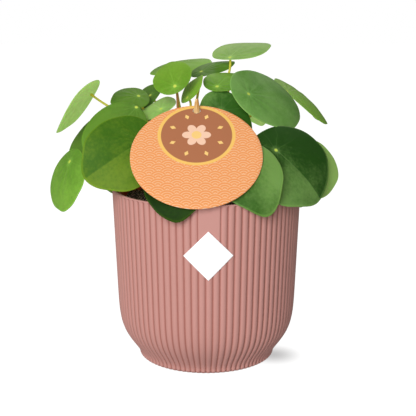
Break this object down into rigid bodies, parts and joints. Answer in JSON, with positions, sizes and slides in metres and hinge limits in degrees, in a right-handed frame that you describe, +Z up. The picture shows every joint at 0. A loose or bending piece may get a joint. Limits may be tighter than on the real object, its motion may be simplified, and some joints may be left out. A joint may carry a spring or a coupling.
{
  "type": "potted chinese money plant",
  "caption": "House plant with round coin-like leaves on long petioles in a fluted pink cover pot, with a round card on a stick and a blank diamond label.",
  "frame": {"origin": "centre of the cover pot's underside, on the surface it stands on", "axes": "+Z up along the pot's axis; -Y is the front with the card and the label; +X to the right"},
  "size_m": [0.2157, 0.1675, 0.2353],
  "materials": {
    "pot": "satin dusty pink moulded plastic",
    "nursery": "thin dark brown-red blown plastic",
    "soil": "rough moist potting mix",
    "stem": "rough brown-green bark with leaf scars",
    "leaf": "satin waxy green leaf with a pale dot and faint veins",
    "leaf_young": "satin bright yellow-green young leaf",
    "card": "coated card with a printed wave pattern",
    "stick": "plain split bamboo",
    "label": "blank white gloss paper"
  },
  "bodies": {
    "root": {"cover_pot": "pot", "nursery_pot": "nursery", "soil": "soil", "stem": "stem", "tag_card": "card", "tag_stick": "stick", "pot_label": "label", "leaf_01": "leaf", "leaf_02": "leaf", "leaf_03": "leaf_young", "leaf_04": "leaf", "leaf_05": "leaf_young", "leaf_06": "leaf", "leaf_07": "leaf", "leaf_08": "leaf", "leaf_09": "leaf", "leaf_10": "leaf", "leaf_11": "leaf", "leaf_12": "leaf", "leaf_13": "leaf_young", "leaf_14": "leaf", "leaf_15": "leaf", "leaf_16": "leaf", "leaf_17": "leaf", "leaf_18": "leaf", "leaf_19": "leaf", "leaf_20": "leaf", "leaf_21": "leaf", "leaf_22": "leaf", "leaf_23": "leaf", "leaf_24": "leaf", "leaf_25": "leaf", "leaf_26": "leaf", "leaf_27": "leaf", "leaf_28": "leaf", "leaf_29": "leaf", "leaf_30": "leaf"}
  },
  "joints": []
}
